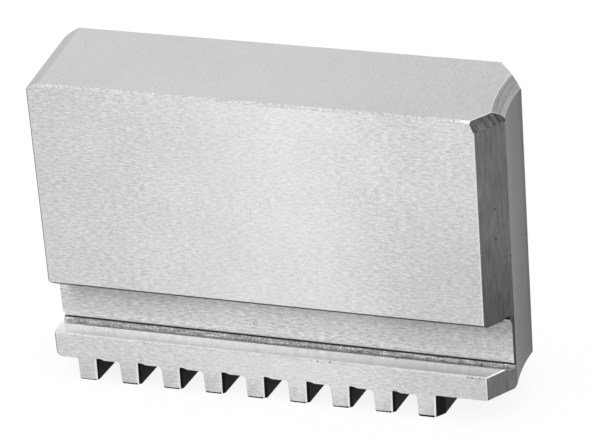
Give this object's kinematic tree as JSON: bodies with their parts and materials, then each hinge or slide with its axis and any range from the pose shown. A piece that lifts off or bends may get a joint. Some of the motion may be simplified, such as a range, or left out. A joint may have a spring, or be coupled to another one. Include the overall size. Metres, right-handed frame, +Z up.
{
  "type": "machinable soft jaw",
  "caption": "Solid steel soft jaw for a scroll chuck: a plain block with a V-shaped tip, side guide grooves and curved scroll teeth underneath.",
  "frame": {"origin": "middle of the bounding box's base, on the plane of the tooth tips", "axes": "+X along the jaw towards the V-shaped tip that faces the chuck's centre, +Y across the jaw, +Z up from the teeth to the plain top face"},
  "size_m": [0.0852, 0.022, 0.0607],
  "materials": {
    "steel": "ground and milled, uncoated"
  },
  "bodies": {
    "root": {"soft_jaw": "steel"}
  },
  "joints": []
}
